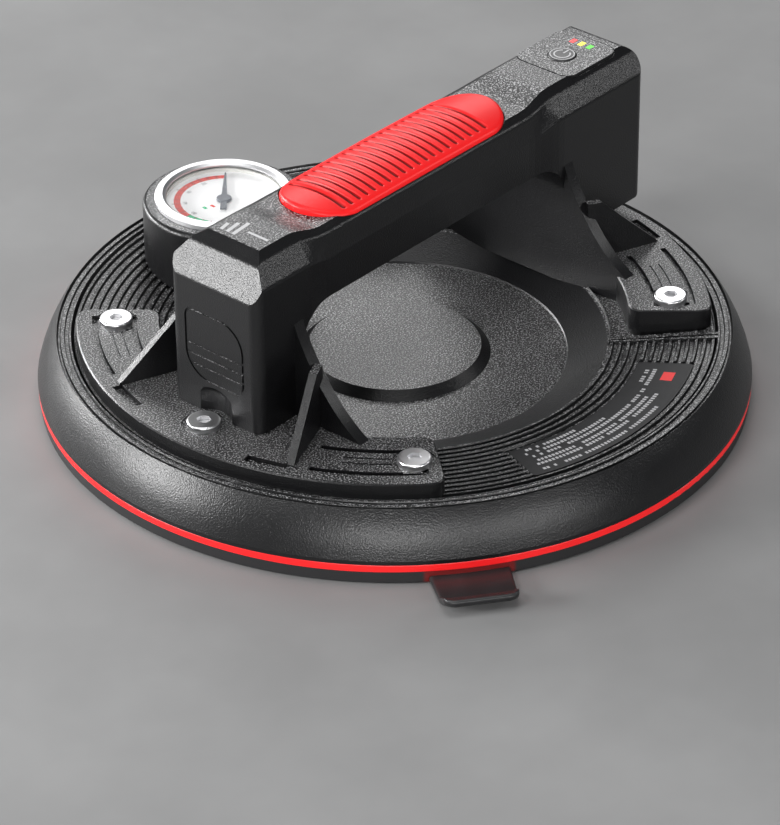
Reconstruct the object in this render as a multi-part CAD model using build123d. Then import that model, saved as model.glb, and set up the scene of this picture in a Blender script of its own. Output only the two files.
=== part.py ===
"""Battery-powered vacuum suction cup: a rubber-edged disc with a bridge handle, pump and gauge.

Millimetres, +Z up. The origin is the centre of the disc on the surface that it is pressed on.
The handle runs along X, the pump head is at +X, the gauge at +Y, the rating label at -Y.
"""
import math
import os

from build123d import *

# ---- disc ----
disc_radius = 113.3          # foot of the rim, its widest point
rim_foot_z = 8.4             # the rim stands upright below this height
rim_swell = 0.7              # how far the steep flank bows out
rim_flank_width = 6.6        # from the widest point in to the crease
crease_z = 22.8              # top edge of the rim
bead_gaps = ((1.0, 2.7), (3.75, 4.85))    # two raised beads, measured inwards from the crease
bead_height = 0.7
flange_radius = 100.3        # outside of the handle's feet
land_z = 22.0                # top of the seats that the feet stand on
floor_outer_z = 21.0         # ridged floor, at its outer and inner edge
floor_inner_z = 17.6
floor_inner_radius = 67.3
basin_radius = 54.6
basin_z = 12.1
dome_base_radius = 30.5
dome_top_radius = 27.5
dome_z = 14.5
basin_step = 0.5
ridge_count = 13
ridge_outer = 100.7          # middle of the outermost ridge
ridge_pitch = 2.66
ridge_width = 1.6
ridge_height = 0.9
channel_half_angle = 52.8    # sunk channel round the far foot's ends, and the beads beyond it
channel_sink = 0.8
border_width = 1.2
border_gap = 0.9
plate_bottom_z = 7.1
pocket_inner_radius = 64.0   # hollow under the floor
pocket_outer_radius = 97.5
pocket_roof = 3.0
rim_wall = 3.5               # walls of the hollow under the rim

# ---- pad, ring and backing ring ----
pad_radius = disc_radius - 0.5
pad_lip_inner_radius = disc_radius - 16.3
pad_lip_height = 4.4
pad_seat_radius = disc_radius - 12.3      # the red ring fits round the pad here
membrane = 2.0
pad_rib_height = 0.7
pad_rib_width = 1.6
pad_rib_radii = (22.0, 42.0, 62.0, 82.0)
ring_radius = disc_radius - 0.1
backing_thickness = 3.0
backing_gap = 0.6

# ---- release tab ----
tab_angle = 232.5
tab_gap = 0.5
tab_length = 17.7
tab_root_width = 25.0
tab_tip_width = 23.0
tab_floor_gap = 0.3
tab_thickness = 2.5
tab_lip_height = 5.6
tab_lip_length = 4.0
tab_corner = 3.5

# ---- handle ----
handle_near_x = -82.0
handle_far_x = 103.0
bridge_x = 62.0              # inner faces of the two columns
bridge_z = 60.0              # underside of the bar
bridge_corner = 10.0
block_half_width = 18.0
bar_half_width = 16.0
block_shoulder_z = 76.5      # where the side turns into the chamfer
bar_shoulder_z = 73.0
block_top_half_width = 13.2
bar_top_half_width = 14.9
block_edge_z = 82.6
bar_edge_z = 81.2
block_top_z = 84.5
edge_softness = 2.2
bar_top_z = 82.6
near_blend = (-60.0, -47.0)
far_blend = (47.0, 62.0)
blend_steps = 6
near_facet_bottom_z = 72.0
near_facet_top = (-76.5, 81.8)
column_corner = 3.5
flange_half_angle = 50.0
flange_inner_radius = 74.0
flange_thickness = 5.0
flange_box_half_width = 42.0
flange_box_x = 80.0
flange_corner = 4.5
flange_edge = 0.4            # broken top edge of the feet
web_thickness = 4.0
web_curve = ((17.0, 62.0), (20.5, 53.5), (26.5, 43.5), (34.5, 34.0), (44.0, 27.0))
rib_angle = 22.0
rib_thickness = 2.5
rib_foot_radius = 95.0
rib_knee_radius = 74.0
rib_knee_z = 47.0
rib_root_radius = 69.0
rib_root_z = 47.6
groove_radii = (82.2, 94.4)
groove_span = (25.5, 47.4)
groove_width = 1.8
groove_depth = 1.4
fine_groove_radii = (86.2, 89.2)
fine_groove_span = (31.0, 41.5)
fine_groove_width = 0.5
fine_groove_depth = 0.4
slot_radii = (94.2, 97.4)
slot_span = (13.5, 21.5)
scallop_radius = 8.6
scallop_top_z = 38.0
emblem_y = (-12.0, 12.0)
emblem_z = (38.0, 62.0)
emblem_large_corner = 9.5
emblem_small_corner = 3.5
emblem_line = 0.8
emblem_depth = 0.5
emblem_stripes_z = (49.6, 46.2, 42.8)
wall = 2.6
interior_half_width = 15.0
interior_floor_z = 34.0
interior_shoulder_z = 74.0
interior_top_half_width = 12.8
interior_top_z = 80.2

# ---- screws through the feet ----
screw_circle = 87.65
screw_angles = (0.0, 45.0, 135.0, 180.0, 225.0, 315.0)
screw_head_radius = 5.2
screw_head_height = 2.2
screw_radius = 3.0
screw_hole_gap = 0.2
screw_length = 15.0
hex_across = 4.0
hex_depth = 1.4
insert_radius = 4.2
insert_length = 8.0
seat_radius = 6.9
seat_recess = 0.5

# ---- end cap ----
cap_x = 84.0
cap_bottom_z = 31.5
cap_wall = 2.4
cap_screw_radius = 1.5
cap_screw_head = 2.6
cap_screw_yz = ((-11.5, 38.5), (11.5, 38.5))
cap_screw_length = 12.0
cap_pillar_wall = 1.2
cap_corner = 4.0

# ---- grip and underside cover ----
grip_x = (-45.5, 45.5)
grip_half_width = 13.9
grip_gap = 0.25
grip_bottom_z = 81.3
grip_edge_z = 83.0
grip_crown = 2.6
grip_bow = 0.6               # how far the ends lie below the middle
grip_groove_count = 20
grip_groove_pitch = 3.47
grip_groove_start = -35.0
grip_groove_half_length = 11.6
grip_groove_width = 1.3
grip_groove_depth = 0.9
cover_half_length = 50.0
cover_half_width = 13.4
cover_thickness = 1.1
cover_gap = 0.15
finger_rib_pitch = 5.5
finger_rib_radius = 0.8
finger_rib_count = 15
bay_half_width = 12.6
bay_x = (-56.0, 66.0)
bay_top_z = 79.9
cover_screw_xy = (43.5, 9.6)
cover_screw_radius = 1.0
cover_screw_head = 1.9
cover_screw_length = 8.0
cover_boss_radius = 2.4

# ---- battery and electronics ----
cell_radius = 9.2
cell_length = 65.0
cell_gap = 0.2
contact_thickness = 0.8
contact_half_height = 6.0
board_x = (66.5, 98.5)
board_half_width = 12.5
board_z = 75.0
board_thickness = 1.6
rail_depth = 3.0
rail_height = 1.5
switch_size = 6.0
switch_height = 3.4

# ---- control panel, button and lights ----
panel_x = (71.5, 97.0)
panel_half_width = 11.6
panel_corner = 4.0
panel_thickness = 1.2
panel_gap = 0.35
panel_proud = 0.1
button_x = 82.5
button_radius = 4.6
button_gap = 0.15
button_proud = 0.5
button_travel = 0.8
button_flange = 1.0
led_x = 92.5
led_spacing = 3.4
led_size = (2.6, 1.7)
led_proud = 0.05

# ---- pump ----
pump_x = 84.0
motor_radius = 12.0
motor_length = 26.0
pump_block_x = (67.0, 100.2)
pump_block_half_width = 13.0
pump_block_height = 11.0
pump_chamber_radius = 8.0
pump_chamber_floor = 2.6
shaft_radius = 1.0
shaft_gap = 0.06
shaft_reach = 6.0
eccentric_radius = 5.0
eccentric_offset = 1.3
eccentric_height = 4.0
diaphragm_radius = 7.5
diaphragm_thickness = 0.8
valve_radius = 3.4
valve_height = 4.0
port_x = 71.5
hose_outer_radius = 3.0
hose_inner_radius = 1.5
hose_bore_gap = 2.0
nipple_collar_radius = hose_outer_radius + 2.0
nipple_collar_height = 1.6
nipple_depth = 8.0
nipple_reach = 6.5
port_bore = 1.2
seal_section = 0.85
seal_clearance = 0.08
filter_radius = 4.0
filter_thickness = 2.0
port_boss_radius = 7.0

# ---- charging socket ----
socket_z = 60.0
socket_half = (4.6, 1.7)
socket_depth = 5.4
flap_half_width = 6.5
flap_height = 8.6
flap_thickness = 1.1
flap_gap = 0.3
socket_wall = 0.35
tongue_half = (3.4, 0.4)

# ---- gauge ----
gauge_x = 0.0
gauge_y = 73.0
pod_radius = 26.4
pod_top_z = 41.0
pod_bore = 22.0
pod_floor_z = 22.0
case_radius = 21.6
case_wall = 1.8
case_floor = 2.0
case_top_z = 42.0
bezel_radius = 22.4
bezel_inner_radius = 18.9
bezel_height = 1.2
bezel_skirt_z = 41.1
lens_radius = 19.6
lens_thickness = 0.8
dial_radius = 19.2
dial_z = 39.5
dial_thickness = 0.6
ledge_width = 2.2
spacer_width = 0.9
needle_zero_angle = 41.4
needle_length = 16.8
needle_tail = 7.0
needle_hub_radius = 2.5
needle_hub_height = 0.75
needle_lift = 0.2
needle_half_width = 1.1
needle_tip_half_width = 0.25
needle_thickness = 0.4
arbor_radius = 0.6
arbor_gap = 0.08
pinion_radius = 2.0
gear_gap = 0.1
gear_ratio = 3.0
gear_height = 1.4
gear_z = 27.5
sector_span = (-8.0, 58.0)
sector_hub_radius = 1.6
pivot_radius = 0.8
movement_z = 25.4
movement_thickness = 1.0
movement_half = (11.5, 4.0)
tube_ring_radius = 15.2
tube_section = 1.3
tube_start_angle = 250.0
tube_arc = 250.0
stem_radius = 4.0
stem_gap = 0.05

# ---- rating label ----
label_radii = (78.2, 96.5)
label_angles = (-113.4, -62.9)
label_thickness = 0.4
label_recess = 0.1

panel_seat_z = block_top_z - panel_thickness
led_ys = {"led_red": led_spacing, "led_yellow": 0.0, "led_green": -led_spacing}
pinion_to_pivot = pinion_radius * (1.0 + gear_ratio) + gear_gap


def rod(radius, bottom, top, x=0.0, y=0.0):
    """An upright cylinder between two heights."""
    return Pos(x, y, (bottom + top) / 2) * Cylinder(radius, top - bottom)


def tube(outer, inner, bottom, top, x=0.0, y=0.0):
    """An upright tube between two heights."""
    return rod(outer, bottom, top, x, y) - rod(inner, bottom - 1, top + 1, x, y)


def block(x, y, z):
    """A box from three pairs of limits."""
    centre = [(low + high) / 2 for low, high in (x, y, z)]
    size = [high - low for low, high in (x, y, z)]
    return Pos(*centre) * Box(*size)


def turned(points, angle=360.0, start=0.0):
    """A solid of revolution about Z from radius and height pairs."""
    face = make_face(Polyline(*[(r, 0, z) for r, z in points], close=True))
    return Rot(0, 0, start) * revolve(face, axis=Axis.Z, revolution_arc=angle)


def polar(radius, angle):
    """A point on a circle about the disc's axis."""
    return radius * math.cos(math.radians(angle)), radius * math.sin(math.radians(angle))


def rounded_box(x, y, z, radius):
    """A box with its upright edges rounded."""
    solid = block(x, y, z)
    return fillet(solid.edges().filter_by(Axis.Z), radius)


def floor_height(radius):
    """The ridged floor rises evenly from its inner edge to the feet's radius."""
    rise = (floor_outer_z - floor_inner_z) / (flange_radius - floor_inner_radius)
    return floor_inner_z + rise * (radius - floor_inner_radius)


def foot_outline(side, bottom, top):
    """The outline of a handle foot, a ring sector with a box across its inner edge."""
    ring = tube(flange_radius, flange_inner_radius, bottom, top)
    reach = 2 * flange_radius
    edge = reach * math.tan(math.radians(flange_half_angle))
    wedge = make_face(Polyline((0, 0), (side * reach, edge), (side * reach, -edge), close=True))
    sector = ring & Pos(0, 0, bottom) * extrude(wedge, amount=top - bottom, dir=(0, 0, 1))
    ends = sector.edges().filter_by(Axis.Z)
    sector = fillet(ends, flange_corner)
    inner, outer = sorted((side * bridge_x, side * flange_box_x))
    return sector + block((inner, outer), (-flange_box_half_width, flange_box_half_width), (bottom, top))


def foot_screw_places():
    """Where the six screws stand."""
    return [polar(screw_circle, angle) for angle in screw_angles]


def end_channel():
    """Sunk channel round the far foot's ends."""
    inner, outer = floor_inner_radius + 1.0, flange_radius + 0.6
    return turned([(inner, floor_height(inner) - channel_sink), (outer, floor_height(outer) - channel_sink),
                   (outer, land_z + 1), (inner, land_z + 1)], 2 * channel_half_angle, -channel_half_angle)


def ridge_borders():
    """Two radial beads at each end of the far foot's channel, where the ridges stop."""
    low, top = basin_z + 4.0, ridge_height + 0.3
    inner, outer = floor_inner_radius + 0.5, ridge_outer + ridge_width
    width, step = (math.degrees(size / flange_radius) for size in (border_width, border_width + border_gap))
    beads = []
    for index in range(2):
        start = channel_half_angle + index * step
        for first in (start, -start - width):
            beads.append(turned([(inner, low), (outer, low), (outer, floor_height(outer) + top),
                                 (inner, floor_height(inner) + top)], width, first))
    return beads


# ---- disc parts ----
def rubber_pad():
    """Sealing lip, thin membrane and low concentric ribs under it, with two air holes."""
    top = plate_bottom_z
    under = top - membrane
    groove_radius = (pad_lip_inner_radius + pad_radius) / 2
    body = turned([(0, under), (pad_lip_inner_radius, under), (pad_lip_inner_radius, 0), (pad_radius - 0.8, 0),
                   (pad_radius, 0.8), (pad_radius, pad_lip_height), (pad_seat_radius, pad_lip_height),
                   (pad_seat_radius, top), (0, top)])
    for radius in pad_rib_radii:
        body += tube(radius + pad_rib_width / 2, radius - pad_rib_width / 2, under - pad_rib_height, under)
    body -= tube(groove_radius + 1.0, groove_radius - 1.0, -1, 1.0)
    body -= rod(hose_inner_radius, 0, top + 1, port_x)
    return body - rod(hose_inner_radius, 0, top + 1, gauge_x, gauge_y)


def red_ring():
    """Coloured ring between the pad's lip and the disc's rim."""
    ring = tube(ring_radius, pad_seat_radius, pad_lip_height, plate_bottom_z)
    return fillet(ring.edges().filter_by(GeomType.CIRCLE).sort_by(SortBy.RADIUS)[-2:], 0.5)


def disc_outline():
    """The disc's turned shape: rolled rim, beads, ridged floor, basin and low dome."""
    crease_radius = disc_radius - rim_flank_width
    middle = ((disc_radius + crease_radius) / 2 + rim_swell, 0, (rim_foot_z + crease_z) / 2 + rim_swell / 2)
    flank = ThreePointArc((disc_radius, 0, rim_foot_z), middle, (crease_radius, 0, crease_z))
    points = [(crease_radius, crease_z)]
    shelf_z = crease_z - 0.9
    points += [(crease_radius - 0.5, shelf_z)]
    for outer, inner in bead_gaps:
        outer, inner = crease_radius - outer, crease_radius - inner
        points += [(outer, shelf_z), (outer - 0.3, shelf_z + bead_height),
                   (inner + 0.3, shelf_z + bead_height), (inner, shelf_z)]
    for index in range(ridge_count):
        outer = ridge_outer + ridge_width / 2 - index * ridge_pitch
        inner = outer - ridge_width
        points += [(outer, floor_height(outer)), (outer - 0.4, floor_height(outer) + ridge_height),
                   (inner + 0.4, floor_height(inner) + ridge_height), (inner, floor_height(inner))]
    points += [(floor_inner_radius, floor_inner_z), (basin_radius + 0.4, basin_z + basin_step),
               (basin_radius, basin_z), (dome_base_radius, basin_z - 0.2),
               (dome_top_radius, dome_z), (0, dome_z), (0, plate_bottom_z), (disc_radius, plate_bottom_z),
               (disc_radius, rim_foot_z)]
    rest = Polyline(*[(r, 0, z) for r, z in points])
    return revolve(make_face(Wire([*flank.edges(), *rest.edges()])), axis=Axis.Z)


def port_hole(x, y, bore):
    """A stepped hole for a spigot and its seal, with a drilling down to the pad."""
    hole = rod(bore, land_z - nipple_depth, land_z + 1, x, y)
    hole += rod(bore + 2 * seal_section + 2 * seal_clearance, land_z - 2 * seal_section - 0.1, land_z + 1, x, y)
    return hole + rod(port_bore, plate_bottom_z - 1, land_z, x, y)


def base_plate():
    """Moulded disc with the seats for the feet, the gauge pod and a hollow underside."""
    plate = disc_outline()
    roof_in = floor_height(floor_inner_radius) - pocket_roof
    roof_out = floor_height(pocket_outer_radius) - pocket_roof
    edge_z = basin_z + 0.2
    plate -= turned([(pocket_inner_radius, plate_bottom_z - 1), (pocket_inner_radius, edge_z),
                     (floor_inner_radius + 2, roof_in), (pocket_outer_radius, roof_out),
                     (pocket_outer_radius, plate_bottom_z - 1)])
    flank_in = disc_radius - rim_flank_width - rim_wall + 1.0
    plate -= turned([(pad_seat_radius + rim_wall - 1.5, plate_bottom_z - 1),
                     (pad_seat_radius + rim_wall - 1.5, crease_z - 6.5), (flank_in + 1.0, crease_z - 6.5),
                     (disc_radius - rim_wall, plate_bottom_z + 1.0),
                     (disc_radius - rim_wall, plate_bottom_z - 1)])
    plate -= end_channel()
    plate += foot_outline(-1, basin_z + 4.0, land_z) + foot_outline(1, basin_z + 4.0, land_z)
    for bead in ridge_borders():
        plate += bead
    boss_bottom = plate_bottom_z + backing_thickness
    for x, y in foot_screw_places():
        plate += rod(insert_radius + 2.4, boss_bottom, land_z - 1, x, y)
        plate -= rod(insert_radius, land_z - 1 - insert_length, land_z, x, y)
        plate -= rod(screw_radius + screw_hole_gap, boss_bottom + 0.8, land_z + 1, x, y)
    plate += rod(port_boss_radius, plate_bottom_z, land_z, port_x)
    plate += rod(pod_radius, basin_z, pod_top_z, gauge_x, gauge_y)
    plate += rod(port_boss_radius, plate_bottom_z, land_z, gauge_x, gauge_y)
    pod_edge = plate.edges().filter_by(GeomType.CIRCLE).group_by(Axis.Z)[-1]
    plate = fillet(pod_edge, 1.6)
    plate -= rod(pod_bore, pod_floor_z, pod_top_z + 1, gauge_x, gauge_y)
    plate -= port_hole(port_x, 0, hose_outer_radius + stem_gap)
    plate -= port_hole(gauge_x, gauge_y, stem_radius + stem_gap)
    plate -= rod(filter_radius + stem_gap, plate_bottom_z - 1, plate_bottom_z + filter_thickness, port_x)
    plate -= label_solid(label_recess, ridge_height + 1)
    return plate


def label_solid(under, over, inset=0.0):
    """A conical patch over the floor between the label's radii and angles."""
    inner, outer = label_radii[0] + inset, label_radii[1] - inset
    start = label_angles[0] + math.degrees(inset / outer)
    sweep = label_angles[1] - label_angles[0] - 2 * math.degrees(inset / outer)
    return turned([(inner, floor_height(inner) - under), (outer, floor_height(outer) - under),
                   (outer, floor_height(outer) + over), (inner, floor_height(inner) + over)], sweep, start)


def label_plate():
    """Smooth rating plate laid between the ridges."""
    plate = label_solid(label_recess, label_thickness, 0.3)
    ends = plate.edges().filter_by(GeomType.LINE).sort_by(SortBy.LENGTH)[:4]
    return fillet(ends, 1.5)


def backing_ring():
    """Steel ring in the hollow under the floor, holed for the two air ports."""
    ring = tube(pocket_outer_radius - backing_gap, pocket_inner_radius + backing_gap,
                plate_bottom_z, plate_bottom_z + backing_thickness)
    hole = port_boss_radius + backing_gap
    ring -= rod(hole, 0, land_z, port_x)
    return ring - rod(hole, 0, land_z, gauge_x, gauge_y)


def threaded_inserts():
    """Six brass inserts set in the disc under the feet."""
    top = land_z - 1
    return Compound([tube(insert_radius, screw_radius, top - insert_length, top, x, y)
                     for x, y in foot_screw_places()])


def flange_screw(x, y):
    """Low-head socket screw."""
    under = land_z + flange_thickness - seat_recess
    head = rod(screw_head_radius, under, under + screw_head_height, x, y)
    head = fillet(head.edges().filter_by(GeomType.CIRCLE).group_by(Axis.Z)[-1], 0.6)
    socket = Pos(x, y, under + screw_head_height - hex_depth) * extrude(
        RegularPolygon(hex_across / 2, 6, major_radius=False), amount=hex_depth + 1)
    return head + rod(screw_radius, under - screw_length, under + 0.5, x, y) - socket


def flange_screws():
    """The six screws that hold the feet to the disc."""
    return Compound([flange_screw(x, y) for x, y in foot_screw_places()])


def seal_ring(bore, x, y):
    """Round-section seal seated on the disc round a spigot."""
    centre_z = land_z - seal_section - 0.05
    return Pos(x, y, centre_z) * Torus(bore + seal_section + seal_clearance, seal_section)


def vacuum_port():
    """Spigot in the disc that the hose is pushed on."""
    spigot = rod(hose_outer_radius, land_z - nipple_depth, land_z, port_x)
    spigot += rod(nipple_collar_radius, land_z, land_z + nipple_collar_height, port_x)
    spigot += rod(hose_inner_radius, land_z, land_z + nipple_reach, port_x)
    return spigot - rod(hose_inner_radius - 0.6, 0, land_z + nipple_reach + 1, port_x)


def release_tab():
    """Tongue at the lip's edge, pulled up to let air in, with a thick raised end."""
    root, tip = pad_radius + tab_gap, pad_radius + tab_gap + tab_length
    half_root, half_tip = tab_root_width / 2, tab_tip_width / 2
    plan = make_face(Polyline((root, -half_root), (tip, -half_tip), (tip, half_tip), (root, half_root),
                              close=True))
    corners = plan.vertices().sort_by(Axis.X)[-2:]
    plan = fillet(corners, tab_corner)
    tongue = Pos(0, 0, tab_floor_gap) * extrude(plan, amount=tab_lip_height - tab_floor_gap, dir=(0, 0, 1))
    top = tab_floor_gap + tab_thickness
    lip_start = tip - tab_lip_length
    side = make_face(Polyline((root - 1, 0, 0), (lip_start, 0, 0), (tip + 1, 0, 1.6),
                              (tip + 1, 0, tab_lip_height), (lip_start + 1.4, 0, tab_lip_height - 0.3),
                              (lip_start - 2.4, 0, top), (root - 1, 0, top), close=True))
    slab = extrude(side, amount=tab_root_width, dir=(0, 1, 0), both=True)
    return Rot(0, 0, tab_angle) * (tongue & slab)


# ---- handle ----
def smooth_step(t):
    """Eases from 0 to 1."""
    return t * t * (3 - 2 * t)


def handle_section(x, blockness):
    """Cross-section at x, between the bar's (0) and the end blocks' (1)."""
    def mix(bar, end):
        return bar + (end - bar) * blockness
    side = mix(bar_half_width, block_half_width)
    shoulder = mix(bar_shoulder_z, block_shoulder_z)
    top = mix(bar_top_half_width, block_top_half_width)
    edge = mix(bar_edge_z, block_edge_z)
    crown = mix(bar_top_z, block_top_z)
    flat = top - 3.0
    face = make_face(Polyline((-side, land_z), (-side, shoulder), (-top, edge), (-flat, crown), (flat, crown),
                              (top, edge), (side, shoulder), (side, land_z), close=True))
    upper = face.vertices().filter_by(lambda v: v.Y > land_z + 1).filter_by(lambda v: abs(v.X) > flat + 0.5)
    face = fillet(upper, edge_softness)
    return Plane(origin=(x, 0, 0), x_dir=(0, 1, 0), z_dir=(1, 0, 0)) * face


def handle_envelope():
    """Bar and end blocks, lofted through sections, before they are trimmed."""
    sections = [handle_section(handle_near_x, 1)]
    for index in range(blend_steps + 1):
        t = index / blend_steps
        x = near_blend[0] + (near_blend[1] - near_blend[0]) * t
        sections.append(handle_section(x, 1 - smooth_step(t)))
    for index in range(blend_steps + 1):
        t = index / blend_steps
        x = far_blend[0] + (far_blend[1] - far_blend[0]) * t
        sections.append(handle_section(x, smooth_step(t)))
    sections.append(handle_section(handle_far_x, 1))
    return loft(sections, ruled=True)


def side_outline():
    """The handle seen from the side: two columns joined by the bar."""
    near, far = handle_near_x, handle_far_x
    facet_x, facet_z = near_facet_top
    face = make_face(Polyline((near, 0, land_z), (near, 0, near_facet_bottom_z), (facet_x, 0, facet_z),
                              (facet_x + 4.5, 0, block_top_z), (far, 0, block_top_z), (far, 0, cap_bottom_z),
                              (cap_x, 0, cap_bottom_z), (cap_x, 0, land_z), (bridge_x, 0, land_z),
                              (bridge_x, 0, bridge_z), (-bridge_x, 0, bridge_z), (-bridge_x, 0, land_z),
                              close=True))
    inner = face.vertices().filter_by(lambda v: abs(v.Z - bridge_z) < 0.1)
    face = fillet(inner, bridge_corner)
    soft = face.vertices().filter_by(lambda v: abs(v.X - far) < 0.1)
    face = fillet(soft, cap_corner)
    facet = face.vertices().filter_by(lambda v: v.X < facet_x + 5 and v.Z > near_facet_bottom_z - 1)
    face = fillet(facet, 2.0)
    return extrude(face, amount=2 * block_half_width, dir=(0, 1, 0), both=True)


def handle_trimmed():
    """The outside of the handle with its end cap, without the feet."""
    plan = rounded_box((handle_near_x, handle_far_x), (-block_half_width, block_half_width),
                       (0, block_top_z + 5), column_corner)
    return handle_envelope() & side_outline() & plan


def foot_web(side):
    """Concave wall that spreads a column over its foot, both ways."""
    curve = Spline(*[(0, y, z) for y, z in web_curve])
    (top_y, top_z), (foot_y, foot_z) = web_curve[0], web_curve[-1]
    rest = Polyline((0, foot_y, foot_z), (0, foot_y, land_z), (0, 0, land_z), (0, 0, top_z), (0, top_y, top_z))
    half = make_face(Wire([*curve.edges(), *rest.edges()]))
    wall_solid = extrude(half, amount=web_thickness, dir=(side, 0, 0))
    wall_solid = Pos(side * bridge_x, 0, 0) * wall_solid
    return wall_solid + mirror(wall_solid, Plane.XZ)


def foot_rib(angle):
    """Upright triangular rib from the column out over the foot."""
    face = make_face(Polyline((rib_root_radius, 0, land_z), (rib_foot_radius, 0, land_z),
                              (rib_foot_radius, 0, land_z + flange_thickness + 0.4),
                              (rib_knee_radius, 0, rib_knee_z), (rib_root_radius, 0, rib_root_z), close=True))
    solid = extrude(face, amount=rib_thickness / 2, dir=(0, 1, 0), both=True)
    return Rot(0, 0, angle) * solid


def arc_groove(radius, width, depth, span):
    """A groove round the disc's axis, cut in the top of a foot."""
    top = land_z + flange_thickness
    inner, outer = radius - width / 2, radius + width / 2
    return turned([(inner, top - depth), (outer, top - depth), (outer, top + 1), (inner, top + 1)],
                  span[1] - span[0], span[0])


def foot_grooves(sign):
    """U-shaped channel from a rib round the corner screw, fine lines inside it, and a slot."""
    def side(span):
        return span if sign > 0 else (-span[1], -span[0])
    slot_middle, slot_width = (slot_radii[0] + slot_radii[1]) / 2, slot_radii[1] - slot_radii[0]
    cut = arc_groove(slot_middle, slot_width, groove_depth, side(slot_span))
    for radius in groove_radii:
        cut += arc_groove(radius, groove_width, groove_depth, side(groove_span))
    end = math.degrees(groove_width / screw_circle)
    middle = (groove_radii[0] + groove_radii[1]) / 2
    reach = groove_radii[1] - groove_radii[0] + groove_width
    cut += arc_groove(middle, reach, groove_depth, side((groove_span[1] - end, groove_span[1])))
    for radius in fine_groove_radii:
        cut += arc_groove(radius, fine_groove_width, fine_groove_depth, side(fine_groove_span))
    return cut


def foot(side):
    """One foot: flange, spreading wall, ribs, screw holes and seats."""
    turn = 0 if side > 0 else 180
    top = land_z + flange_thickness
    flange = foot_outline(side, land_z, top)
    outline = flange.edges().group_by(Axis.Z)[-1].filter_by(GeomType.CIRCLE).sort_by(SortBy.RADIUS)
    flange = chamfer(outline[-1:], flange_edge)
    solid = flange + foot_web(side)
    for angle in (-rib_angle, rib_angle):
        solid += foot_rib(turn + angle)
    for sign in (-1, 1):
        solid -= Rot(0, 0, turn) * foot_grooves(sign)
    return solid


def bay_cut():
    """The hollow in the bar for the cell, open below where the cover fits."""
    cut = block(bay_x, (-bay_half_width, bay_half_width), (bridge_z + cover_thickness, bay_top_z))
    seat = cover_half_length + cover_gap
    cut += block((-seat, seat), (-cover_half_width - cover_gap, cover_half_width + cover_gap),
                 (bridge_z - 2, bridge_z + cover_thickness))
    return cut


def cover_boss_places():
    """Where the underside cover's screws stand."""
    x, y = cover_screw_xy
    return [(sx * x, sy * y) for sx in (-1, 1) for sy in (-1, 1)]


def panel_cut():
    """Shallow recess that the control panel fits."""
    return rounded_box((panel_x[0] - panel_gap, panel_x[1] + panel_gap),
                       (-panel_half_width - panel_gap, panel_half_width + panel_gap),
                       (panel_seat_z, block_top_z + 2), panel_corner + panel_gap)


def panel_drillings():
    """Holes under the panel for the button's stem and the lights."""
    cut = rod(button_radius + button_gap + button_flange, interior_top_z - 2, panel_seat_z + 1, button_x)
    for y in led_ys.values():
        cut += block((led_x - led_size[0] / 2 - button_gap, led_x + led_size[0] / 2 + button_gap),
                     (y - led_size[1] / 2 - button_gap, y + led_size[1] / 2 + button_gap),
                     (interior_top_z - 2, panel_seat_z + 1))
    return cut


def head_hollow(low_x, high_x):
    """Room for the pump below and the board above, narrower under the chamfers."""
    lower = block((low_x, high_x), (-interior_half_width, interior_half_width),
                  (interior_floor_z, interior_shoulder_z))
    upper = block((low_x, high_x), (-interior_top_half_width, interior_top_half_width),
                  (interior_shoulder_z - 1, interior_top_z))
    return lower + upper


def handle_body():
    """Moulded bridge handle in one piece with both feet, hollow for the cell and the pump."""
    outside = handle_trimmed() & block((handle_near_x - 1, cap_x), (-50, 50), (0, 100))
    body = outside + foot(-1) + foot(1)
    top = land_z + flange_thickness
    body -= head_hollow(bridge_x + wall, cap_x + 1)
    body -= bay_cut()
    near_floor = bridge_z - 2.0
    scallop_depth = scallop_radius - (screw_circle + handle_near_x)
    body -= block((handle_near_x + scallop_depth + wall, -bridge_x - wall),
                  (-interior_half_width, interior_half_width), (land_z - 1, near_floor))
    body -= scallop_cut() + emblem_cut()
    for x, y in cover_boss_places():
        body += rod(cover_boss_radius, bridge_z + cover_thickness, bay_top_z + 0.5, x, y)
        body -= rod(cover_screw_radius, bridge_z, bridge_z + cover_thickness + cover_screw_length, x, y)
    for sign in (-1, 1):
        inner, outer = sorted((sign * (interior_half_width - rail_depth), sign * (interior_half_width + 0.5)))
        body += block((board_x[0], cap_x), (inner, outer), (board_z - rail_height, board_z))
    body -= grip_blank(grip_gap, grip_bottom_z, 5)
    body -= panel_cut() + panel_drillings()
    for x, y in foot_screw_places():
        body -= rod(screw_radius + screw_hole_gap, land_z - 1, top + 1, x, y)
        body -= rod(seat_radius, top - seat_recess, top + screw_head_height + 1, x, y)
    body -= rod(hose_outer_radius + hose_bore_gap + 0.2, land_z - 1, interior_floor_z + 1, port_x)
    for y, z in cap_screw_yz:
        body -= Pos(cap_x, y, z) * Rot(0, 90, 0) * Cylinder(cap_screw_radius, 2 * cap_screw_length)
        body += cap_screw_boss(y, z)
    return body


def scallop_cut():
    """Round-topped hollow in the near column that clears the screw in front of it."""
    ball_z = scallop_top_z - scallop_radius * 0.6
    ball = Pos(-screw_circle, 0, ball_z) * scale(Sphere(scallop_radius), (1, 1, 0.6))
    return rod(scallop_radius, land_z + flange_thickness, ball_z, -screw_circle) + ball


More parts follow.
